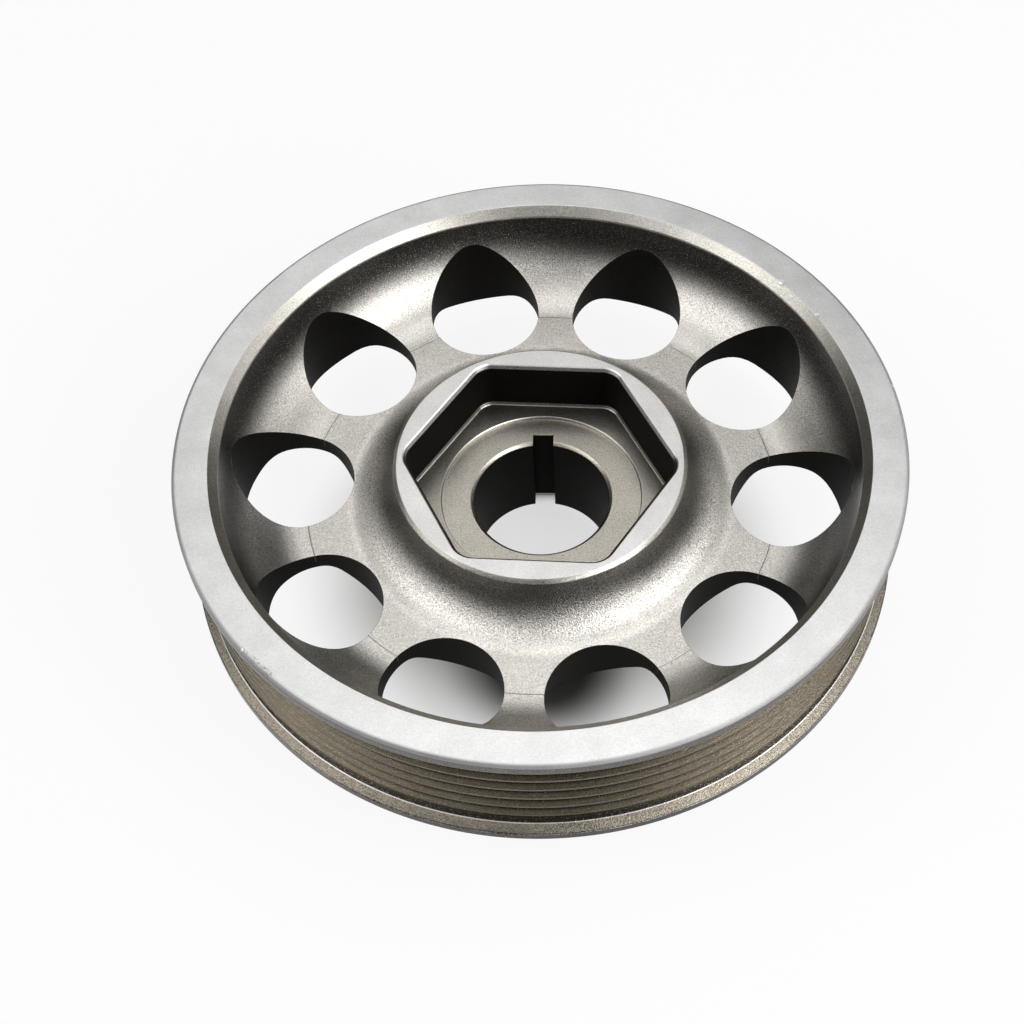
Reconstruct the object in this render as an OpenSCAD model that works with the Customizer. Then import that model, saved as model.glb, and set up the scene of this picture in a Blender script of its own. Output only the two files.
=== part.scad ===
// Crankshaft pulley for a six-rib belt, turned and milled from one piece of aluminium.
// The bore stands upright on the Z axis and the end of the rear boss lies on Z = 0,
// so the dished front face, with its hexagonal socket, looks up.

/* [Rim] */
// Diameter over the two belt flanges
flange_d = 151; // [150:0.5:156]
// Distance from the end of the rear boss to the front edge of the rim
overall_h = 43; // [42:0.5:46]
// Height of the rim from its rear edge to its front edge
rim_h = 30.5; // [28.5:0.5:32]
// Height of the front flange's outer face
front_flange_h = 2.8; // [2:0.1:3.2]
// Height of the rear flange's outer face
rear_flange_h = 2.2; // [1.5:0.1:3]
// Height of the bevel that leads the belt in from each flange
flange_bevel_h = 1.2; // [0.8:0.1:1.6]
// Radius that rounds the outer front edge
front_edge_r = 0.9; // [0.5:0.1:1.2]
// Bevel on the two edges of the rim's rear face
rear_edge_c = 0.4; // [0.2:0.1:0.8]

/* [Belt grooves] */
// Number of V grooves
groove_n = 6; // [4:1:6]
// Distance from one groove to the next
groove_pitch = 3.56; // [3.4:0.02:3.6]
// Diameter over the rib crests
crest_d = 147; // [145:0.5:148]
// Flat width of each rib crest
crest_flat = 0.7; // [0.5:0.1:1]
// Depth of each groove
groove_depth = 2.9; // [2.4:0.1:3.2]
// Angle between the two flanks of a groove
groove_angle = 40; // [36:1:44]

/* [Front dish] */
// Diameter of the wall inside the rim
dish_d = 132.6; // [132:0.1:134]
// Bevel between the rim's front face and that wall
lip_bevel = 1.8; // [1:0.1:3]
// Depth of the flat web below the rim's front edge
web_depth = 18; // [17:0.1:19]
// Thickness of the web
web_t = 4; // [3:0.1:6]

/* [Lightening holes] */
// Number of holes
hole_n = 10; // [6:1:10]
// Diameter of each hole
hole_d = 24.7; // [20:0.1:25]
// Diameter of the circle on which the holes lie
hole_circle_d = 105.7; // [105:0.1:106.5]

/* [Hub] */
// Diameter of the hub
hub_d = 61.7; // [61:0.1:63]
// Distance from the end of the rear boss to the hub's front face
hub_h = 36.1; // [36.1:0.1:37]
// Bevel round the hub's front face
hub_bevel = 0.75; // [0.4:0.05:0.75]
// Width of the hexagonal socket across its flats
socket_af = 50; // [48:0.5:51]
// Radius in the six corners of the socket
socket_corner_r = 4; // [2:0.5:6]
// Depth of the socket
socket_depth = 12.45; // [11:0.05:13]
// Bevel round the socket's mouth
socket_mouth_c = 0.8; // [0.4:0.1:1]
// Bevel left round the socket's floor
socket_floor_c = 0.5; // [0.2:0.1:0.8]

/* [Crank bore] */
// Diameter of the bore
bore_d = 29; // [26:0.5:32]
// Bevel at each end of the bore
bore_bevel = 0.75; // [0.4:0.05:1]
// Diameter of the recess that seats the bolt's washer
seat_d = 43; // [40:0.5:46]
// Depth of that recess
seat_depth = 0.8; // [0.4:0.1:1.6]
// Width of the keyway
key_w = 4.55; // [4:0.05:6]
// Distance from the bore's axis to the back of the keyway
key_reach = 17.4; // [17:0.1:19]
// Angle of the keyway from the nearest flat of the socket
key_turn = 2.4; // [-10:0.1:10]

/* [Rear side] */
// Diameter of the rear boss that runs in the oil seal
boss_d = 45; // [40:0.5:50]
// Height of the rear boss
boss_h = 9; // [8:0.5:12]
// Bevel round the end of the rear boss
boss_bevel = 1; // [0.5:0.1:1.5]
// Diameter at which the hub's 45 degree cone meets the web
hub_cone_d = 93.8; // [90:0.1:96]
// Diameter at which the rim's 45 degree cone meets the web
rim_cone_d = 122.6; // [120:0.1:123.5]
// Radius of the cove between the hub's cone and the web
hub_cone_cove_r = 5; // [2:0.5:6]
// Radius of the cove between the rim's cone and the web
rim_cone_cove_r = 6; // [2:0.5:7]
// Radius of the cove at the foot of the rear boss
boss_cove_r = 2; // [1:0.5:3]

/* [Hidden] */
$fn = 180;

metal = [0.47, 0.45, 0.41];
past = 1;
arc_steps = 8;

flange_r = flange_d / 2;
crest_r = crest_d / 2;
dish_r = dish_d / 2;
hub_r = hub_d / 2;
boss_r = boss_d / 2;
bore_r = bore_d / 2;
hub_cone_r = hub_cone_d / 2;
rim_cone_r = rim_cone_d / 2;

rim_z = overall_h - rim_h;
web_z = overall_h - web_depth;
rear_z = web_z - web_t;
socket_z = hub_h - socket_depth;
seat_z = socket_z - seat_depth;

// The two front coves fill the dish's corners from the web up to the bevels
rim_cove_r = web_depth - lip_bevel;
hub_cove_r = hub_h - hub_bevel - web_z;

// Lowest point of the belt section, where the rear flange's bevel meets the rib crests
belt_z = rim_z + rear_flange_h + flange_bevel_h;
groove_mouth = groove_pitch - crest_flat;
groove_root = groove_mouth - 2 * groove_depth * tan(groove_angle / 2);

// Distance of the centres of the socket's rounded corners from the axis
corner_reach = (socket_af / 2 - socket_corner_r) / cos(30);

// Waste outside a rounded outer edge; the finished edge turns about the origin
module edge_waste(r) {
    difference() {
        square(r + past);
        circle(r = r);
    }
}

// Metal that fills a right-angled inner corner at the origin with a cove
module cove(r) {
    difference() {
        square(r);
        translate([r, r]) circle(r = r);
    }
}

// Points on an arc about a centre, from one angle to another
function arc(centre, r, from, to) = [
    for (i = [0 : arc_steps])
        let (a = from + (to - from) * i / arc_steps)
            centre + r * [cos(a), sin(a)]
];

// Rim in section: flanges, the belt section between them and the 45 degree rear wall,
// with the rear cove that turns into the web
module rim_section() {
    cove_start = rim_cone_r - rim_cone_cove_r * tan(22.5);
    rear_r = rim_cone_r + rear_z - rim_z;
    difference() {
        polygon([
            [cove_start, web_z],
            each arc([cove_start, rear_z - rim_cone_cove_r], rim_cone_cove_r, 90, 45),
            [rear_r - rear_edge_c, rim_z + rear_edge_c],
            [rear_r + rear_edge_c, rim_z],
            [flange_r - rear_edge_c, rim_z],
            [flange_r, rim_z + rear_edge_c],
            [flange_r, overall_h],
            [dish_r + lip_bevel, overall_h],
            [dish_r, overall_h - lip_bevel],
            [dish_r, web_z]
        ]);
        translate([flange_r - front_edge_r, overall_h - front_edge_r]) edge_waste(front_edge_r);
        belt_channel();
        belt_grooves();
    }
}

// Space between the flanges, down to the rib crests
module belt_channel() {
    front_z = overall_h - front_flange_h;
    polygon([
        [crest_r, belt_z],
        [flange_r, belt_z - flange_bevel_h],
        [flange_r + past, belt_z - flange_bevel_h],
        [flange_r + past, front_z],
        [flange_r, front_z],
        [crest_r, front_z - flange_bevel_h]
    ]);
}

// The V grooves, each with a flat root between two straight flanks
module belt_grooves() {
    side = (groove_mouth - groove_root) / 2;
    for (i = [0 : groove_n - 1])
        translate([crest_r, belt_z + i * groove_pitch])
            polygon([
                [0, 0],
                [-groove_depth, side],
                [-groove_depth, side + groove_root],
                [0, groove_mouth],
                [past / 2, groove_mouth],
                [past / 2, 0]
            ]);
}

// Web in section, with the coves that carry it up to the rim and the hub
module web_section() {
    translate([0, rear_z]) square([dish_r, web_t]);
    translate([dish_r, web_z]) mirror([1, 0]) cove(rim_cove_r);
    translate([hub_r, web_z]) cove(hub_cove_r);
}

// Hub in section: the bevelled front collar, and the cone and cove behind the web
module hub_section() {
    cove_end = hub_cone_r + hub_cone_cove_r * tan(22.5);
    polygon([
        [0, boss_h],
        [hub_cone_r - rear_z + boss_h, boss_h],
        each arc([cove_end, rear_z - hub_cone_cove_r], hub_cone_cove_r, 135, 90),
        [cove_end, web_z],
        [hub_r, web_z],
        [hub_r, hub_h - hub_bevel],
        [hub_r - hub_bevel, hub_h],
        [0, hub_h]
    ]);
}

// Rear boss in section
module boss_section() {
    polygon([
        [0, 0],
        [boss_r - boss_bevel, 0],
        [boss_r, boss_bevel],
        [boss_r, boss_h + past],
        [0, boss_h + past]
    ]);
    translate([boss_r, boss_h]) mirror([0, 1]) cove(boss_cove_r);
}

// The turned blank, before holes, socket and bore
module turned_blank() {
    rotate_extrude() {
        rim_section();
        web_section();
        hub_section();
        boss_section();
    }
}

// Straight holes through the web, one of them on +X
module lightening_holes() {
    for (i = [0 : hole_n - 1])
        rotate(i * 360 / hole_n)
            translate([hole_circle_d / 2, 0, 0])
                cylinder(d = hole_d, h = overall_h + past);
}

// Hexagon with rounded corners and a flat towards +Y
module rounded_hexagon() {
    polygon([
        for (i = [0 : 5])
            each arc(
                corner_reach * [cos(60 * i), sin(60 * i)],
                socket_corner_r,
                60 * i - 30,
                60 * i + 30
            )
    ]);
}

// Milled hexagonal socket for a holding tool, with a bevel round its mouth and a
// narrow one left round its floor
module hex_socket() {
    wall_z = socket_z + socket_floor_c;
    mouth_z = hub_h - socket_mouth_c;
    translate([0, 0, wall_z])
        mirror([0, 0, 1])
            linear_extrude(height = socket_floor_c, scale = 1 - 2 * socket_floor_c / socket_af)
                rounded_hexagon();
    translate([0, 0, wall_z])
        linear_extrude(height = mouth_z - wall_z)
            rounded_hexagon();
    translate([0, 0, mouth_z])
        linear_extrude(height = 2 * socket_mouth_c, scale = 1 + 4 * socket_mouth_c / socket_af)
            rounded_hexagon();
}

// Round recess in the socket's floor that seats the bolt's washer
module washer_seat() {
    translate([0, 0, seat_z]) cylinder(d = seat_d, h = seat_depth + past);
}

// Through bore for the crankshaft's nose, bevelled at both ends
module crank_bore() {
    rotate_extrude()
        polygon([
            [0, -past],
            [bore_r + bore_bevel, -past],
            [bore_r + bore_bevel, 0],
            [bore_r, bore_bevel],
            [bore_r, seat_z - bore_bevel],
            [bore_r + bore_bevel, seat_z],
            [bore_r + bore_bevel, seat_z + past],
            [0, seat_z + past]
        ]);
}

// Broached keyway along the whole bore
module keyway() {
    rotate(key_turn)
        translate([-key_w / 2, 0, -past])
            cube([key_w, key_reach, seat_z + 2 * past]);
}

module pulley() {
    color(metal)
        difference() {
            turned_blank();
            lightening_holes();
            hex_socket();
            washer_seat();
            crank_bore();
            keyway();
        }
}

pulley();
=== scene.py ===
# %% [markdown]
# The frame comes first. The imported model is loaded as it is, and everything below is
# built around it in metres, with the bore's axis on Z and the end of the rear boss on
# Z = 0. The dished front, with the hexagonal socket, looks up.

# %% Load the frame
import math

import bmesh
import bpy
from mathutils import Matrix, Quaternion, Vector


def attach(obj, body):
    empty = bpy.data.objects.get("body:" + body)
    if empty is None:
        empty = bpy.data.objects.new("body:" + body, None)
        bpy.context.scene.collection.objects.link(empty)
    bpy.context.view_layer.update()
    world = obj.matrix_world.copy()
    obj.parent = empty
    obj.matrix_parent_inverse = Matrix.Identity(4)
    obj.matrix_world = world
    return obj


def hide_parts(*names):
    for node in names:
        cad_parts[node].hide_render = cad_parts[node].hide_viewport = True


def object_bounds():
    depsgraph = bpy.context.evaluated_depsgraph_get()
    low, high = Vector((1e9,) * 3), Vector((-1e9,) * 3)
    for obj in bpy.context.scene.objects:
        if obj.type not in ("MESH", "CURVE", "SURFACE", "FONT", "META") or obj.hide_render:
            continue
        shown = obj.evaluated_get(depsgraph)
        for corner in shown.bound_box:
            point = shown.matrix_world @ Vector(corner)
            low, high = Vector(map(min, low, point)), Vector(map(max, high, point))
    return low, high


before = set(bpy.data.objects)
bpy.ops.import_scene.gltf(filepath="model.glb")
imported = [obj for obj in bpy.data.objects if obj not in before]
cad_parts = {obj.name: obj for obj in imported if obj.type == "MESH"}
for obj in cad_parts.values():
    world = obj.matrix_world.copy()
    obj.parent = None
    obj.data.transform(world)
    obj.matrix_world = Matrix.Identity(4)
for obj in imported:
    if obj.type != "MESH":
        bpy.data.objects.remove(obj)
cad_low, cad_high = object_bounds()
print("CAD box in mm:", [round(1000 * v, 2) for v in (*cad_low, *cad_high)])

# %% [markdown]
# The drawing's own sizes are in millimetres, as a turner would write them, and MM turns
# them into Blender's metres. The outer radius and the height are read from the frame, so
# the piece made here always fills the same box as the solid it stands for.

# %% Sizes of the pulley
MM = 0.001
FLANGE_R = cad_high.x / MM
OVERALL_H = cad_high.z / MM

RIM_H = 30.5
RIM_Z = OVERALL_H - RIM_H
FRONT_FLANGE_H = 2.8
REAR_FLANGE_H = 2.2
FLANGE_BEVEL_H = 1.2
FRONT_EDGE_R = 0.9
REAR_EDGE_C = 0.4

GROOVES = 6
PITCH = 3.56
CREST_R = 73.5
CREST_FLAT = 0.7
GROOVE_DEPTH = 2.9
FLANK_ANGLE = math.radians(20)

DISH_R = 66.3
LIP_BEVEL = 1.8
WEB_Z = OVERALL_H - 18
REAR_Z = WEB_Z - 4
RIM_COVE_R = 18 - LIP_BEVEL

HOLES = 10
HOLE_R = 24.7 / 2
HOLE_CIRCLE_R = 105.7 / 2

HUB_R = 61.7 / 2
HUB_Z = 36.1
HUB_BEVEL = 0.75
HUB_COVE_R = HUB_Z - HUB_BEVEL - WEB_Z
SOCKET_FLAT_R = 25.0
SOCKET_CORNER_R = 4.0
SOCKET_Z = HUB_Z - 12.45
MOUTH_C = 0.8
FLOOR_C = 0.5
SEAT_R = 21.5
SEAT_Z = SOCKET_Z - 0.8

BORE_R = 14.5
BORE_BEVEL = 0.75
KEY_W = 4.55
KEY_REACH = 17.4
KEY_TURN = math.radians(2.4)

BOSS_R = 22.5
BOSS_H = 9.0
BOSS_BEVEL = 1.0
BOSS_COVE_R = 2.0
HUB_CONE_R = 46.9
RIM_CONE_R = 61.3
HUB_CONE_COVE_R = 5.0
RIM_CONE_COVE_R = 6.0

# %% [markdown]
# A lathe form starts as one line: half of the section, drawn in the XZ plane. A single
# vertex is extruded from corner to corner, and where the real cutter ran round a radius
# the vertex is spun about the arc's centre. That is drawing by hand with two moves, and
# it keeps true arcs, which a pasted list of points would not show.

# %% Drawing moves
EIGHTH = math.radians(45)
QUARTER = math.radians(90)
TURN = math.radians(360)


def deselect_all():
    if bpy.context.object and bpy.context.object.mode == "EDIT":
        bpy.ops.object.mode_set(mode="OBJECT")
    bpy.ops.object.select_all(action="DESELECT")


def start_line(name, r, z):
    """A new object whose mesh is one vertex, left selected in edit mode."""
    deselect_all()
    bpy.ops.mesh.primitive_plane_add(size=MM, location=(0, 0, 0))
    line = bpy.context.object
    line.name = line.data.name = name
    bpy.ops.object.mode_set(mode="EDIT")
    bpy.ops.mesh.select_all(action="SELECT")
    bpy.ops.mesh.merge(type="CENTER")
    bpy.ops.transform.translate(value=(r * MM, 0, z * MM))
    return line


def pen():
    """Where the drawing has got to: the selected vertex, in millimetres."""
    sketch = bmesh.from_edit_mesh(bpy.context.object.data)
    tip = next(v for v in sketch.verts if v.select)
    return tip.co.x / MM, tip.co.z / MM


def line_to(r, z):
    here = pen()
    step = ((r - here[0]) * MM, 0, (z - here[1]) * MM)
    bpy.ops.mesh.extrude_region_move(TRANSFORM_OT_translate={"value": step})


def arc_about(r, z, angle, steps):
    """Carries the line round a centre: a positive angle is anticlockwise, with +X right and +Z up."""
    bpy.ops.mesh.spin(
        steps=steps, dupli=False, angle=angle, center=(r * MM, 0, z * MM), axis=(0, 1, 0)
    )


def outline_groove(foot):
    """One V groove and the crest above it, from the crest line at height foot."""
    mouth = PITCH - CREST_FLAT
    side = GROOVE_DEPTH * math.tan(FLANK_ANGLE)
    root_r = CREST_R - GROOVE_DEPTH
    line_to(root_r, foot + side)
    line_to(root_r, foot + mouth - side)
    line_to(CREST_R, foot + mouth)


# %% [markdown]
# The section is drawn once round, as the tool would travel: out along the rear boss, up
# the hub's cone, under the web, down the rim's cone, up the belt side with its six
# grooves, over the rim, down the wide cove to the web, up the narrow cove to the hub and
# down the bore. The six grooves are one move in a loop. The blank is opened a little wider
# than the washer seat, down to a small bevel, and the socket's cutter takes the rest.

# %% Half section
SMALL_ARC, EDGE_ARC = 4, 5
RIM_COVE_ARC, HUB_COVE_ARC = 26, 18
SEAT_LIP = 0.2

blank = start_line("pulley_body", BORE_R + BORE_BEVEL, 0)
line_to(BOSS_R - BOSS_BEVEL, 0)
line_to(BOSS_R, BOSS_BEVEL)
line_to(BOSS_R, BOSS_H - BOSS_COVE_R)
arc_about(BOSS_R + BOSS_COVE_R, BOSS_H - BOSS_COVE_R, -QUARTER, SMALL_ARC)
line_to(HUB_CONE_R - REAR_Z + BOSS_H, BOSS_H)

tangent = HUB_CONE_COVE_R * math.tan(EIGHTH / 2)
line_to(HUB_CONE_R - tangent * math.cos(EIGHTH), REAR_Z - tangent * math.sin(EIGHTH))
arc_about(HUB_CONE_R + tangent, REAR_Z - HUB_CONE_COVE_R, -EIGHTH, SMALL_ARC)
tangent = RIM_CONE_COVE_R * math.tan(EIGHTH / 2)
line_to(RIM_CONE_R - tangent, REAR_Z)
arc_about(RIM_CONE_R - tangent, REAR_Z - RIM_CONE_COVE_R, -EIGHTH, SMALL_ARC)

rear_r = RIM_CONE_R + REAR_Z - RIM_Z
line_to(rear_r - REAR_EDGE_C, RIM_Z + REAR_EDGE_C)
line_to(rear_r + REAR_EDGE_C, RIM_Z)
line_to(FLANGE_R - REAR_EDGE_C, RIM_Z)
line_to(FLANGE_R, RIM_Z + REAR_EDGE_C)
line_to(FLANGE_R, RIM_Z + REAR_FLANGE_H)
belt_z = RIM_Z + REAR_FLANGE_H + FLANGE_BEVEL_H
line_to(CREST_R, belt_z)
for i in range(GROOVES):
    if i:
        line_to(CREST_R, belt_z + i * PITCH)
    outline_groove(belt_z + i * PITCH)
line_to(CREST_R, OVERALL_H - FRONT_FLANGE_H - FLANGE_BEVEL_H)
line_to(FLANGE_R, OVERALL_H - FRONT_FLANGE_H)
line_to(FLANGE_R, OVERALL_H - FRONT_EDGE_R)
arc_about(FLANGE_R - FRONT_EDGE_R, OVERALL_H - FRONT_EDGE_R, QUARTER, EDGE_ARC)

line_to(DISH_R + LIP_BEVEL, OVERALL_H)
line_to(DISH_R, OVERALL_H - LIP_BEVEL)
arc_about(DISH_R - RIM_COVE_R, OVERALL_H - LIP_BEVEL, -QUARTER, RIM_COVE_ARC)
line_to(HUB_R + HUB_COVE_R, WEB_Z)
arc_about(HUB_R + HUB_COVE_R, WEB_Z + HUB_COVE_R, -QUARTER, HUB_COVE_ARC)
line_to(HUB_R - HUB_BEVEL, HUB_Z)

line_to(SEAT_R + 2 * SEAT_LIP, HUB_Z)
line_to(SEAT_R + 2 * SEAT_LIP, SOCKET_Z + SEAT_LIP)
line_to(SEAT_R, SOCKET_Z - SEAT_LIP)
line_to(SEAT_R, SEAT_Z)
line_to(BORE_R + BORE_BEVEL, SEAT_Z)
line_to(BORE_R, SEAT_Z - BORE_BEVEL)
line_to(BORE_R, BORE_BEVEL)
line_to(BORE_R + BORE_BEVEL, 0)

WELD = 0.003
bpy.ops.mesh.select_all(action="SELECT")
bpy.ops.mesh.remove_doubles(threshold=WELD * MM)
print("Section drawn with", len(bmesh.from_edit_mesh(blank.data).verts), "points")

# %% [markdown]
# No machined edge is perfectly sharp. Each corner of the section is rounded by a
# hair before the lathe turns it, because a corner rounded here costs one vertex bevel
# and is round all the way along, where a bevel on the finished ring would cost
# thousands. Arcs are left alone: only points where the line really turns are picked.

# %% Break the corners
EDGE_BREAK = 0.12
CORNER_ANGLE = math.radians(18)

sketch = bmesh.from_edit_mesh(blank.data)
corners = 0
for v in sketch.verts:
    a, b = (e.other_vert(v).co - v.co for e in v.link_edges)
    v.select = math.pi - a.angle(b) > CORNER_ANGLE
    corners += v.select
sketch.select_flush_mode()
bmesh.update_edit_mesh(blank.data)
bpy.ops.mesh.bevel(
    offset=EDGE_BREAK * MM, offset_type="OFFSET", affect="VERTICES", segments=2, profile=0.5
)
print("Corners broken:", corners)

# %% [markdown]
# The lathe itself is one full spin about the Z axis. The first and the last section fall
# on each other and are welded, which closes the ring.

# %% Turn it
LATHE_STEPS = 288
bpy.ops.mesh.select_all(action="SELECT")
bpy.ops.mesh.spin(steps=LATHE_STEPS, dupli=False, angle=TURN, center=(0, 0, 0), axis=(0, 0, 1))
bpy.ops.mesh.select_all(action="SELECT")
bpy.ops.mesh.remove_doubles(threshold=WELD * MM)
bpy.ops.mesh.normals_make_consistent(inside=False)
bpy.ops.object.mode_set(mode="OBJECT")
print("Turned blank:", len(blank.data.polygons), "faces")

# %% [markdown]
# What the mill takes away is modelled as the shape of the cutter's path and subtracted
# with a Boolean: ten plain cylinders for the holes, a cube for the keyway, and a prism
# for the socket. The prism starts as a six-sided cylinder whose upright edges are
# bevelled round. Its faces are then inset while they move, which gives the 45 degree
# bevels at the mouth and the floor an even width all the way round the corners.

# %% Cutters
CLEAR = 2.0
HOLE_SIDES = 128
CORNER_STEPS = 8


def hole_cutter(angle):
    bpy.ops.mesh.primitive_cylinder_add(
        vertices=HOLE_SIDES,
        radius=HOLE_R * MM,
        depth=(OVERALL_H + 2 * CLEAR) * MM,
        location=(
            HOLE_CIRCLE_R * math.cos(angle) * MM,
            HOLE_CIRCLE_R * math.sin(angle) * MM,
            OVERALL_H / 2 * MM,
        ),
    )
    return bpy.context.object


def key_cutter():
    bpy.ops.mesh.primitive_cube_add(size=1, location=(0, 0, 0))
    cutter = bpy.context.object
    bpy.ops.object.mode_set(mode="EDIT")
    top = (SEAT_Z + SOCKET_Z) / 2
    bpy.ops.transform.resize(value=(KEY_W * MM, KEY_REACH * MM, (top + CLEAR) * MM))
    bpy.ops.transform.translate(value=(0, KEY_REACH / 2 * MM, (top - CLEAR) / 2 * MM))
    bpy.ops.object.mode_set(mode="OBJECT")
    cutter.rotation_euler.z = KEY_TURN
    return cutter


def socket_cutter():
    mouth_flat_r = SOCKET_FLAT_R + MOUTH_C
    height = 1.0
    bpy.ops.mesh.primitive_cylinder_add(
        vertices=6,
        radius=mouth_flat_r / math.cos(TURN / 12) * MM,
        depth=height * MM,
        location=(0, 0, (HUB_Z + height / 2) * MM),
        rotation=(0, 0, TURN / 12),
    )
    cutter = bpy.context.object
    bpy.ops.object.transform_apply(location=True, rotation=True, scale=True)
    bpy.ops.object.mode_set(mode="EDIT")
    bpy.ops.mesh.select_mode(type="EDGE")
    bpy.ops.mesh.select_all(action="DESELECT")
    sketch = bmesh.from_edit_mesh(cutter.data)
    for e in sketch.edges:
        if abs(e.verts[0].co.z - e.verts[1].co.z) > height / 2 * MM:
            e.select_set(True)
    bmesh.update_edit_mesh(cutter.data)
    rounding = (SOCKET_CORNER_R + MOUTH_C) * math.tan(TURN / 12)
    bpy.ops.mesh.bevel(offset=rounding * MM, segments=CORNER_STEPS, profile=0.5)
    bpy.ops.mesh.select_all(action="DESELECT")
    bpy.ops.mesh.select_mode(type="FACE")
    sketch = bmesh.from_edit_mesh(cutter.data)
    sketch.faces.ensure_lookup_table()
    floor = min(sketch.faces, key=lambda f: f.calc_center_median().z)
    floor.select_set(True)
    bmesh.update_edit_mesh(cutter.data)
    bpy.ops.mesh.inset(thickness=MOUTH_C * MM, depth=MOUTH_C * MM)
    drop = HUB_Z - MOUTH_C - SOCKET_Z - FLOOR_C
    bpy.ops.mesh.extrude_region_move(TRANSFORM_OT_translate={"value": (0, 0, -drop * MM)})
    bpy.ops.mesh.inset(thickness=FLOOR_C * MM, depth=FLOOR_C * MM)
    bpy.ops.mesh.select_mode(type="VERT")
    bpy.ops.object.mode_set(mode="OBJECT")
    low = min(v.co.z for v in cutter.data.vertices) / MM
    print("Socket cutter reaches down to", round(low, 3), "and the floor is at", round(SOCKET_Z, 3))
    return cutter


# %% [markdown]
# The cutters are joined, so that one exact Boolean takes them all away at once. Points
# that it leaves almost on each other are welded, and the mesh is tested for open edges.

# %% Cut the blank
deselect_all()
cutters = [hole_cutter(i * TURN / HOLES) for i in range(HOLES)]
cutters += [key_cutter(), socket_cutter()]
deselect_all()
for cutter in cutters:
    cutter.select_set(True)
bpy.context.view_layer.objects.active = cutters[0]
bpy.ops.object.join()
cutter = bpy.context.object

deselect_all()
bpy.context.view_layer.objects.active = blank
blank.select_set(True)
cut = blank.modifiers.new("cut", "BOOLEAN")
cut.operation = "DIFFERENCE"
cut.solver = "EXACT"
cut.object = cutter
bpy.ops.object.modifier_apply(modifier=cut.name)
bpy.data.objects.remove(cutter)
bpy.ops.object.mode_set(mode="EDIT")
bpy.ops.mesh.select_all(action="SELECT")
bpy.ops.mesh.remove_doubles(threshold=WELD * MM)
bpy.ops.object.mode_set(mode="OBJECT")
tested = bmesh.new()
tested.from_mesh(blank.data)
open_edges = sum(not e.is_manifold for e in tested.edges)
tested.free()
print("Machined pulley:", len(blank.data.polygons), "faces,", open_edges, "open edges")

# %% [markdown]
# Smooth shading hides the facets of the round faces, and edges that turn sharply stay
# sharp. The hair of rounding beside a wide flat face would still tilt its shading, so the
# normals are weighted by the area of the faces, and a flat face stays flat in the light.

# %% Shading
SMOOTH_ANGLE = math.radians(28)
FULL_WEIGHT = 100
bpy.ops.object.shade_smooth_by_angle(angle=SMOOTH_ANGLE)
flat = blank.modifiers.new("flat faces", "WEIGHTED_NORMAL")
flat.mode = "FACE_AREA"
flat.weight = FULL_WEIGHT
flat.keep_sharp = True
bpy.ops.object.modifier_apply(modifier=flat.name)

# %% [markdown]
# The machined mesh stands for the imported solid, which stays hidden behind it for the
# collisions.

# %% Put it on the frame
pulley = blank
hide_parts("pulley")
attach(pulley, "root")

# %% [markdown]
# The finish is bead blasting under hard anodising: a warm grey metal with a fine, sharp
# grain that breaks each highlight into specks. The finish differs from face to face.
# The two front faces on which the pulley was lapped are lighter and more neutral, the
# belt side is darker and browner, partly its finish and partly painted shade, and walls
# deep inside the holes, the socket and the bore are painted darkest, as painted shade,
# along with the coves, grooves and creases marked below. All of this is worked out from
# the place of a point on the pulley, in millimetres, so no picture is laid on and
# nothing depends on where the pulley is seen from.

# %% Shader sums
class Wire:
    """A node's output. Sums of wires become Math nodes, so a mask reads as a formula."""

    def __init__(self, tree, socket):
        self.tree, self.socket = tree, socket

    def node(self, kind, settings, inputs, output=0):
        """Any other node: its settings first, then its inputs, as wires or plain values."""
        made = self.tree.nodes.new(kind)
        for key, value in settings.items():
            setattr(made, key, value)
        for key, value in inputs.items():
            if isinstance(value, Wire):
                self.tree.links.new(value.socket, made.inputs[key])
            else:
                made.inputs[key].default_value = value
        return Wire(self.tree, made.outputs[output])

    def math(self, operation, *values):
        return self.node("ShaderNodeMath", {"operation": operation}, dict(enumerate(values)))

    def __add__(self, other):
        return self.math("ADD", self, other)

    def __sub__(self, other):
        return self.math("SUBTRACT", self, other)

    def __rsub__(self, other):
        return self.math("SUBTRACT", other, self)

    def __mul__(self, other):
        return self.math("MULTIPLY", self, other)

    __radd__ = __add__
    __rmul__ = __mul__

    def above(self, level, soft):
        """0 below the level and 1 above it, with a soft step that is centred on it."""
        inputs = {"Value": self, "From Min": level - soft / 2, "From Max": level + soft / 2}
        return self.node("ShaderNodeMapRange", {"interpolation_type": "SMOOTHSTEP"}, inputs)

    def below(self, level, soft):
        return 1 - self.above(level, soft)

    def distance(self, point):
        """How far this wire's vector is from a point."""
        settings = {"operation": "DISTANCE"}
        return self.node("ShaderNodeVectorMath", settings, {0: self, 1: point}, "Value")

    def noise(self, scale, detail, roughness):
        """Noise that varies over this wire's vector, between about 0.2 and 0.8."""
        knobs = {"Vector": self, "Scale": scale, "Detail": detail, "Roughness": roughness}
        return self.node("ShaderNodeTexNoise", {}, knobs)

    def mix(self, colour, other):
        """The first colour where this wire is 0, the other where it is 1."""
        return self.node("ShaderNodeMix", {"data_type": "RGBA"}, {0: self, 6: colour, 7: other}, 2)


def new_material(name):
    material = bpy.data.materials.new(name)
    material.use_nodes = True
    tree = material.node_tree
    shader = tree.nodes["Principled BSDF"]
    place = Wire(tree, tree.nodes.new("ShaderNodeTexCoord").outputs["Object"])
    place = place.node("ShaderNodeMapping", {}, {"Vector": place, "Scale": (1 / MM, 1 / MM, 1 / MM)})
    return material, tree, shader, place


def length(x, y):
    square = x * x + y * y
    return square.math("SQRT", square)


# %% [markdown]
# A turned part is described by two numbers, the distance r from the axis and the height
# z. A hole's wall is found by the distance from the nearest hole's axis: the ten holes
# repeat every 36 degrees, so the angle is wrapped into one such slice first.

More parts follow.
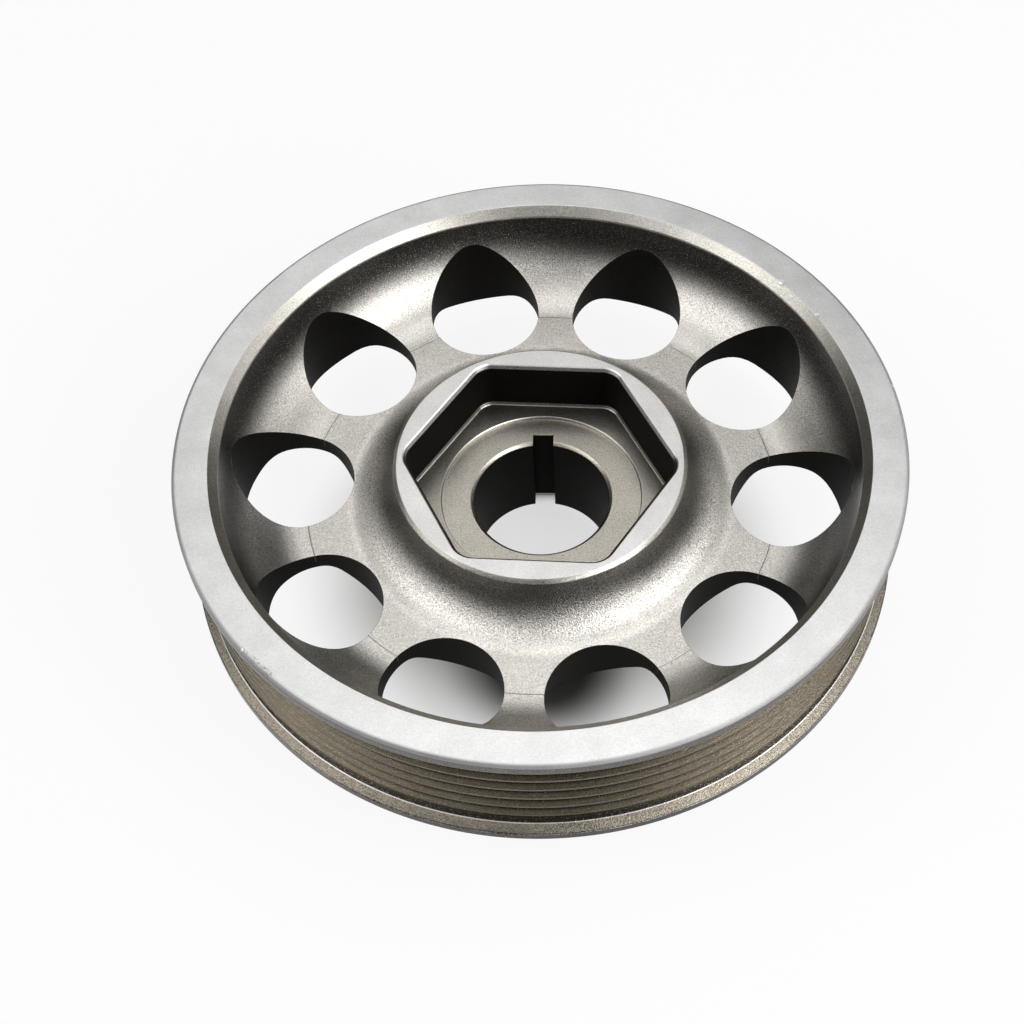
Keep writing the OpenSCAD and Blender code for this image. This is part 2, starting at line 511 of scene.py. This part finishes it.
# %% Where a point lies on the pulley
metal, tree, shader, place = new_material("blasted_aluminium")
split = place.node("ShaderNodeSeparateXYZ", {}, {0: place})
x = Wire(tree, split.socket.node.outputs["X"])
y = Wire(tree, split.socket.node.outputs["Y"])
z = Wire(tree, split.socket.node.outputs["Z"])
r = length(x, y)
pitch_angle = TURN / HOLES
fold = y.math("WRAP", y.math("ARCTAN2", y, x), pitch_angle / 2, -pitch_angle / 2)
from_hole = length(
    r * fold.math("COSINE", fold) - HOLE_CIRCLE_R,
    r * fold.math("SINE", fold),
)

# %% [markdown]
# Each finish, painted shade and painted highlight has a mask, which is one where it lies.
# A mask's border sits on a machined line or a hair beside it, so that a broken edge takes
# the finish it has on the real pulley, and its second number says over how many
# millimetres it fades: SHARP where the cutter changed, SOFT and FADE where blasting or
# handling blurred the line.

# %% Masks of the front faces
SHARP, SOFT, FADE = 0.1, 0.2, 0.6
rim_top = r.above(DISH_R + LIP_BEVEL - 0.1, SOFT) * z.above(OVERALL_H - 0.8, FADE)
hub_top = r.below(HUB_R - 0.4, 0.3) * z.above(HUB_Z - 0.25, SOFT)
lapped = rim_top + hub_top
# The rounded outer edge of the rim is painted darker: painted shade.
rim_edge = r.above(FLANGE_R - 0.65, 0.7) * z.above(OVERALL_H - 1.2, 0.3)
# The rim's inner lip and the hub's bevel are painted darker: painted shade.
lip = r.above(DISH_R - 0.1, SOFT) * r.below(DISH_R + LIP_BEVEL, SOFT)
lip = lip * z.above(OVERALL_H - 2.2, 0.4)
hub_edge = r.above(HUB_R - HUB_BEVEL, SHARP) * r.below(HUB_R + 0.1, SHARP)
hub_edge = hub_edge * z.above(HUB_Z - 0.9, SOFT)

# %% Masks of the belt side
FOOT_H = 0.36
belt_side = r.above(FLANGE_R - 5.2, 0.4) * z.below(OVERALL_H - 0.9, FADE)
flange_face = belt_side * r.above(FLANGE_R - 0.2, SOFT)
# The rear flange's face is painted darker than the front one: painted shade.
rear_flange_shade = flange_face * z.below(belt_z, 1)
flange_bevel = belt_side * r.above(CREST_R + 0.04, 0.06)
crest = belt_side * r.above(CREST_R - 0.15, SHARP) * r.below(CREST_R + 0.05, 0.06)
# The foot of the lowest groove, beside the rear flange's bevel, is a painted shadow.
belt_foot_shade = belt_side * r.below(CREST_R, 0.08) * z.below(belt_z + FOOT_H, 0.3)

# %% Masks of the socket, the bore and the holes
SOCKET_REACH = HUB_R - 1.2
FLOOR_BEVEL_TOP = SOCKET_Z + 0.6
in_socket = r.below(SOCKET_REACH, SHARP)
socket_floor = in_socket * z.below(FLOOR_BEVEL_TOP, SOFT)
seat_floor = r.below(SEAT_R + 0.1, SHARP) * z.below(SEAT_Z + 0.2, SHARP)
# The bevel at the foot of the socket's walls is painted dark: painted shade.
floor_bevel = in_socket * r.above(SEAT_R + 2, SHARP)
floor_bevel = floor_bevel * z.above(SOCKET_Z + 0.15, SHARP) * z.below(FLOOR_BEVEL_TOP, SHARP)
socket_wall = in_socket * z.above(FLOOR_BEVEL_TOP, SOFT) * z.below(HUB_Z - 0.75, SOFT)
bore_wall = r.below(KEY_REACH + 0.3, SHARP) * z.below(SEAT_Z - 0.6, SOFT) * z.above(0.8, SOFT)
hole_wall = from_hole.below(HOLE_R + 0.04, 0.05) * r.above(HUB_R + 5, 1)
hole_wall = hole_wall * z.below(OVERALL_H - 1.5, 0.5)
# The walls deep in the holes, the socket and the bore are painted near black: painted shade.
shaded_walls = hole_wall + socket_wall + bore_wall

# %% [markdown]
# On the dish the colour is painted darker up the wall of the rim and down the foot of the
# hub, as painted shade in the two coves, and the flat web is a little darker than the
# coves beside it. The rear side has one darker tone. In the belt grooves the colour is
# painted darker with depth, as painted shade. Each term says how much darker, from what
# radius and over what width.

# %% Tones
REAR_TONE = 0.6
ROOT_SHADE = 0.12
# Painted shade in the rim's cove and at the foot of the hub.
rim_wall_shade = 0.34 * r.above(58, 7) + 0.60 * r.above(63.5, 4.5)
hub_foot_shade = 0.76 * r.below(34.6, 7.5)
web_flat = 0.19 * r.above(41.3, 1.6) * r.below(56, 5)
front = z.above(SEAT_Z + 0.5, 1)
dish_tone = REAR_TONE + front * (1 - REAR_TONE - rim_wall_shade - hub_foot_shade - web_flat)
# The grooves are painted darker with depth: painted shade.
groove_shade = ROOT_SHADE + (1 - ROOT_SHADE) * r.above(CREST_R - 1.0, 0.8)

# %% [markdown]
# A metal's base colour is the colour of its reflections. The values were found by
# comparing renders with the photo on rings round the pulley. The mask of a small face
# comes after that of the large face it lies in, so it is laid over it.

# %% Colours
DISH_COLOUR = (0.735, 0.705, 0.65, 1)
LAPPED_COLOUR = (0.83, 0.825, 0.82, 1)
HUB_COLOUR = (0.77, 0.76, 0.745, 1)
# Painted shade on the rounded outer edge.
EDGE_SHADE_COLOUR = (0.33, 0.325, 0.325, 1)
# Painted shade on the inner lip and the hub's bevel.
LIP_SHADE_COLOUR = (0.44, 0.42, 0.38, 1)
# The belt side's colours are partly its darker, browner finish and partly painted shade.
BELT_COLOUR = (0.130, 0.109, 0.077, 1)
CREST_COLOUR = (0.105, 0.091, 0.069, 1)
BEVEL_COLOUR = (0.20, 0.178, 0.142, 1)
# Painted shade in the crease at the foot of the socket's walls.
FLOOR_EDGE_SHADE_COLOUR = (0.09, 0.085, 0.077, 1)
FLANGE_COLOUR = (0.110, 0.106, 0.100, 1)
# The rear flange's face as painted shade.
REAR_FLANGE_SHADE_COLOUR = (0.040, 0.036, 0.030, 1)
FLOOR_COLOUR = (0.39, 0.365, 0.32, 1)
SEAT_COLOUR = (0.44, 0.412, 0.36, 1)
# Near black painted shade, for the deep walls and the foot of the lowest groove.
WALL_SHADE_COLOUR = (0.008, 0.0074, 0.0064, 1)
# The light colour of bare metal, also used for the painted edge highlights.
BARE_AND_HIGHLIGHT_COLOUR = (0.92, 0.91, 0.89, 1)
STAIN_COLOUR = (0.16, 0.15, 0.13, 1)
# How much of the near black painted shadow lies at the foot of the lowest groove.
FOOT_SHADE_SHARE = 0.85


def tint(colour, tone):
    """The colour, made lighter or darker by a wire."""
    grey = tone.node("ShaderNodeCombineXYZ", {}, {0: tone, 1: tone, 2: tone})
    settings = {"data_type": "RGBA", "blend_type": "MULTIPLY"}
    return tone.node("ShaderNodeMix", settings, {0: 1.0, 6: colour, 7: grey}, 2)


colour = tint(DISH_COLOUR, dish_tone)
for mask, finish in (
    (rim_top, LAPPED_COLOUR),
    (rim_edge, EDGE_SHADE_COLOUR),
    (hub_top, HUB_COLOUR),
    (lip, LIP_SHADE_COLOUR),
    (hub_edge, LIP_SHADE_COLOUR),
    (belt_side, tint(BELT_COLOUR, groove_shade)),
    (crest, CREST_COLOUR),
    (flange_bevel, BEVEL_COLOUR),
    (belt_foot_shade * FOOT_SHADE_SHARE, WALL_SHADE_COLOUR),
    (flange_face, FLANGE_COLOUR),
    (rear_flange_shade, REAR_FLANGE_SHADE_COLOUR),
    (socket_floor, FLOOR_COLOUR),
    (floor_bevel, FLOOR_EDGE_SHADE_COLOUR),
    (seat_floor, SEAT_COLOUR),
    (shaded_walls, WALL_SHADE_COLOUR),
):
    colour = mask.mix(colour, finish)
print("Nodes up to the finishes:", len(tree.nodes))

# %% [markdown]
# Grain is noise about 0.3 mm across. It lifts and lowers the surface a little through
# bump, and it varies the colour, so the specks stay where the light is even. It is
# strongest in the coves and on the flange bevels and faint on the lapped faces. Single
# bright grains are laid over it, and a slower noise gives the faint clouds that handling
# leaves.

# %% Grain and clouds
GRAIN_SIZE = 0.30
GRAIN_CONTRAST = 1.6
CLOUD_SCALE = 0.12
CLOUD_CONTRAST = 0.35
SPARKLE_LEVEL = 0.69
grain = place.noise(1 / GRAIN_SIZE, 2, 0.65)
specks = place.noise(1.7 / GRAIN_SIZE, 1, 0.5)
clouds = place.noise(CLOUD_SCALE, 4, 0.6)
rim_cove = r.above(59, 6) * r.below(DISH_R, 0.5)
hub_cove = r.below(38, 5) * r.above(HUB_R, 0.5)
coves = (0.6 * rim_cove + hub_cove) * front
grain_share = 1 - 0.7 * lapped + 1.1 * coves + 0.8 * flange_bevel
shade = 1 + (grain - 0.5) * GRAIN_CONTRAST * grain_share + (clouds - 0.5) * CLOUD_CONTRAST
colour = tint(colour, shade)
sparkle = specks.above(SPARKLE_LEVEL, 0.06) * (0.35 + 0.3 * coves)
sparkle = sparkle * (1 - shaded_walls) * (1 - lapped)
colour = sparkle.mix(colour, BARE_AND_HIGHLIGHT_COLOUR)

# %% [markdown]
# Handling shows first on edges. A thin light line is laid along the edges of the two
# flanges and of the hub's bevel and broken up by the clouds. Two edges carry a painted
# highlight all the way round: that of the washer seat, and that between the rear
# flange's bevel and the lowest groove.

# %% Worn edges and painted edge highlights
WORN_RINGS = (
    # radius, height and width of each worn edge
    (FLANGE_R, OVERALL_H - FRONT_FLANGE_H, 0.10),
    (FLANGE_R, RIM_Z + REAR_FLANGE_H, 0.10),
    (HUB_R - HUB_BEVEL, HUB_Z, 0.12),
    (HUB_R, HUB_Z - HUB_BEVEL, 0.12),
)
WORN_SHARE, SEAT_HIGHLIGHT_SHARE, FOOT_HIGHLIGHT_SHARE = 0.35, 0.7, 0.5


def edge_line(ring_r, ring_z, width, soft):
    """One on a thin ring round the pulley."""
    return length(r - ring_r, z - ring_z).below(width, soft)


worn = sum(edge_line(ring_r, ring_z, width, width) for ring_r, ring_z, width in WORN_RINGS)
worn = worn * (clouds + grain).above(0.95, 0.3) * WORN_SHARE
# The washer seat's edge and the foot of the lowest groove carry a painted highlight.
seat_edge_highlight = edge_line(SEAT_R, SOCKET_Z, 0.24, 0.2) * SEAT_HIGHLIGHT_SHARE
foot_edge_highlight = edge_line(CREST_R + 0.08, belt_z, 0.12, 0.08) * FOOT_HIGHLIGHT_SHARE

# %% [markdown]
# Two nicks sit on the inner lip at the back right, and three small ones on the outer
# edge. They are round spots about a point, and the grain makes their outline ragged. The
# patch of dark scuffs on the outer edge at the front left is grain that shows only close
# to one point.

# %% Nicks and scuffs
NICKS = (
    # angle in degrees, radius, height and size of each nick
    (42.4, 68.3, 43.0, 0.65),
    (32.3, 68.4, 43.0, 0.45),
    (-134.6, 75.0, 42.9, 0.36),
    (-133.9, 74.8, 43.0, 0.28),
    (13.5, 75.2, 42.8, 0.40),
)
NICK_SHARE = 0.6
SCUFFS = (-130.4, 75.0, OVERALL_H, 3.0)
SCUFF_SHARE = 0.75


def on_pulley(degrees, radius, height):
    a = math.radians(degrees)
    return radius * math.cos(a), radius * math.sin(a), height


ragged = (grain - 0.5) * 0.8
nicked = sum((place.distance(on_pulley(*at)) + ragged).below(size, 0.25) for *at, size in NICKS)
*at, size = SCUFFS
scuffed = place.distance(on_pulley(*at)).below(size, 2.4) * r.above(74.2, 0.5)
scuffed = scuffed * grain.above(0.54, 0.06) * SCUFF_SHARE
colour = scuffed.mix(colour, STAIN_COLOUR)
# Wear, nicks and the two painted edge highlights are laid on in the light colour.
wear_and_highlights = worn + nicked * NICK_SHARE + seat_edge_highlight + foot_edge_highlight
colour = wear_and_highlights.math("MINIMUM", wear_and_highlights, 1.0).mix(colour, BARE_AND_HIGHLIGHT_COLOUR)
print("Nicks:", len(NICKS))

# %% [markdown]
# The fine dark line on the web is where two turning cuts met, at the foot of the rim's
# cove.

# %% Turning line
LINE_R = DISH_R - RIM_COVE_R
LINE_SHARE = 0.6
off_line = r - LINE_R
turning_line = off_line.math("ABSOLUTE", off_line).below(0.09, 0.08) * z.above(REAR_Z + 2, 1)
colour = (turning_line * LINE_SHARE).mix(colour, STAIN_COLOUR)

# %% [markdown]
# Grain, nicks and the turning line also stand in the surface itself, through one bump.
# The lapped faces and the rounded outer edge are duller than the rest, and the deep
# walls are dullest.

# %% Height and roughness
GRAIN_DEPTH = 0.030
NICK_DEPTH = 0.15
LINE_DEPTH = 0.04
BASE_ROUGHNESS = 0.24
height = (grain - 0.5) * GRAIN_DEPTH * 2 * grain_share
height = height - nicked * NICK_DEPTH - turning_line * LINE_DEPTH
bump = height.node("ShaderNodeBump", {}, {"Strength": 1.0, "Distance": MM, "Height": height})
roughness = BASE_ROUGHNESS + grain * 0.06 + clouds * 0.04
roughness = roughness + lapped * 0.14 + rim_edge * 0.2 + shaded_walls * 0.4
for name, wire in (("Base Color", colour), ("Roughness", roughness), ("Normal", bump)):
    tree.links.new(wire.socket, shader.inputs[name])
shader.inputs["Metallic"].default_value = 1.0
pulley.data.materials.clear()
pulley.data.materials.append(metal)
print("Metal:", len(tree.nodes), "nodes")

# %% [markdown]
# The camera is where the photographer stood: it was found from the pulley's own circles
# and holes in the photo. It looks down at 55 degrees from the front, a third of a metre
# away, so the near side of the rim looks larger than the far side.

# %% Camera
CAMERA_AT = Vector((21.67, -212.93, 311.65)) * MM
LOOK_AZIMUTH = math.radians(95.72)
LOOK_DOWN = math.radians(55.32)
CAMERA_ROLL = math.radians(-2.425)
FOCAL_PIXELS = 1666.8
IMAGE_SIDE = 1024
CENTRE_PIXEL = (545.24, 550.91)

camera = bpy.data.objects.new("camera", bpy.data.cameras.new("camera"))
bpy.context.scene.collection.objects.link(camera)
bpy.context.scene.camera = camera
forward = Vector((
    math.cos(LOOK_AZIMUTH) * math.cos(LOOK_DOWN),
    math.sin(LOOK_AZIMUTH) * math.cos(LOOK_DOWN),
    -math.sin(LOOK_DOWN),
))
camera.location = CAMERA_AT
camera.rotation_mode = "QUATERNION"
camera.rotation_quaternion = forward.to_track_quat("-Z", "Y") @ Quaternion((0, 0, 1), CAMERA_ROLL)
camera.data.sensor_width = 36
camera.data.lens = FOCAL_PIXELS * camera.data.sensor_width / IMAGE_SIDE
camera.data.shift_x = (IMAGE_SIDE / 2 - CENTRE_PIXEL[0]) / IMAGE_SIDE
camera.data.shift_y = (CENTRE_PIXEL[1] - IMAGE_SIDE / 2) / IMAGE_SIDE
camera.data.clip_start = 0.01
camera.data.clip_end = 50
print("Lens:", round(camera.data.lens, 2), "mm")

# %% [markdown]
# The pulley lies on a sheet of white paper that runs out of sight. Under the pulley the
# paper keeps part of its real shading, with the patches of light that fall through the
# holes. From under the holes outwards, and under the bore, it turns into the plain white
# of a studio sweep, for the camera and for reflections in the metal; under the pulley
# that white is painted light on the paper. A small share of the real shading stays
# there, which keeps the pulley's soft shadow, and it ends far away, where no shadow
# falls. A soft dark patch under the front holes is the shade that the photo shows there.

# %% Floor
FLOOR_SIDE = 60.0
PAPER = (0.72, 0.72, 0.72, 1)
SWEEP_SHARE = 0.88
SWEEP_STARTS, SWEEP_FULL = 26, 60
FAR_AT = 900
INSIDE_BORE, INSIDE_SOFT = 17, 4
INSIDE_SHARE = 0.7
PATCH_AT = (2, -29, 0)
PATCH_R, PATCH_SOFT = 15.5, 15
PATCH_DEPTH = 0.9

deselect_all()
bpy.ops.mesh.primitive_plane_add(size=FLOOR_SIDE, location=(0, 0, 0))
floor = bpy.context.object
floor.name = floor.data.name = "floor"
paper, tree, shader, place = new_material("white_paper")
shader.inputs["Roughness"].default_value = 0.9
shader.inputs["Specular IOR Level"].default_value = 0.0

# %% Where the paper turns white
away = place.distance((0, 0, 0))
patch = place.distance(PATCH_AT).below(PATCH_R, PATCH_SOFT)
# Where this white reaches under the holes and the bore it is painted light.
sweep = away.above((SWEEP_STARTS + SWEEP_FULL) / 2, SWEEP_FULL - SWEEP_STARTS)
sweep = (sweep + away.below(INSIDE_BORE, INSIDE_SOFT) * INSIDE_SHARE) * (1 - patch)
sweep = sweep * SWEEP_SHARE + away.above(FAR_AT, FAR_AT) * (1 - SWEEP_SHARE)
path = tree.nodes.new("ShaderNodeLightPath")
seen = sum(Wire(tree, path.outputs[f"Is {ray} Ray"]) for ray in ("Camera", "Glossy", "Transmission"))

# %% Paper and sweep
tree.links.new(tint(PAPER, 1 - patch * PATCH_DEPTH).socket, shader.inputs["Base Color"])
white = place.node("ShaderNodeEmission", {}, {"Strength": 1.0})
share = sweep * seen
sides = {0: share, 1: Wire(tree, shader.outputs[0]), 2: white}
mixed = share.node("ShaderNodeMixShader", {}, sides)
tree.links.new(mixed.socket, tree.nodes["Material Output"].inputs["Surface"])
floor.data.materials.append(paper)
print("Paper:", len(tree.nodes), "nodes")

# %% [markdown]
# Soft light comes from a ring of square softboxes. Their levels were found by rendering
# the pulley under one box at a time and weighing the pictures until their sum had the
# photo's shades: a strong box at the right makes the broad highlight on the hub's cove, a
# weaker one at the left its counterpart, and the even ones at the back and overhead light
# the flat faces. Together they light a white sheet a little above its own colour.

# %% Light
SOFTBOX_DISTANCE = 1.2
SOFTBOXES = (
    # azimuth and elevation in degrees, side in metres, radiance
    (0, 90, 0.55, 0.74),
    (45, 68, 0.55, 0.97),
    (90, 68, 0.55, 1.1),
    (180, 68, 0.55, 1.10),
    (270, 68, 0.55, 0.56),
    (22, 45, 0.7, 0.72),
    (105, 50, 0.6, 0.95),
    (157, 45, 0.7, 0.33),
    (202, 45, 0.7, 2.4),
    (247, 45, 0.7, 0.69),
    (337, 45, 0.58, 6.2),
    (15, 18, 0.8, 1.29),
    (195, 18, 0.8, 1.6),
    (315, 18, 0.8, 4.7),
)


def softbox(azimuth, elevation, size, radiance):
    """A square area lamp that faces the pulley."""
    lamp = bpy.data.lights.new("softbox", "AREA")
    lamp.shape = "SQUARE"
    lamp.size = size
    lamp.energy = radiance * math.pi * size * size
    a, e = math.radians(azimuth), math.radians(elevation)
    side = Vector((math.cos(a) * math.cos(e), math.sin(a) * math.cos(e), math.sin(e)))
    box = bpy.data.objects.new("softbox", lamp)
    bpy.context.scene.collection.objects.link(box)
    box.location = side * SOFTBOX_DISTANCE
    box.rotation_mode = "QUATERNION"
    box.rotation_quaternion = side.to_track_quat("Z", "Y")
    return radiance * (size / SOFTBOX_DISTANCE) ** 2 * math.sin(e) / math.pi


plain_level = sum(softbox(*row) for row in SOFTBOXES)
print("A white sheet facing up is lit to", round(plain_level, 2))

# %% [markdown]
# The room behind the lamps is almost black to the metal, which gives the coves their
# deep shades. Only the camera sees it white, so that a low view has no dark sky.

# %% Room
DARK, WHITE = (0.01, 0.01, 0.01, 1), (1, 1, 1, 1)
world = bpy.data.worlds.new("studio")
bpy.context.scene.world = world
world.use_nodes = True
studio = world.node_tree
rays = Wire(studio, studio.nodes.new("ShaderNodeLightPath").outputs["Is Camera Ray"])
dark, pale = studio.nodes["Background"], studio.nodes.new("ShaderNodeBackground")
dark.inputs["Color"].default_value = DARK
pale.inputs["Color"].default_value = WHITE
sides = {0: rays, 1: Wire(studio, dark.outputs[0]), 2: Wire(studio, pale.outputs[0])}
backdrop = rays.node("ShaderNodeMixShader", {}, sides)
studio.links.new(backdrop.socket, studio.nodes["World Output"].inputs["Surface"])

bpy.context.scene.view_settings.view_transform = "Standard"
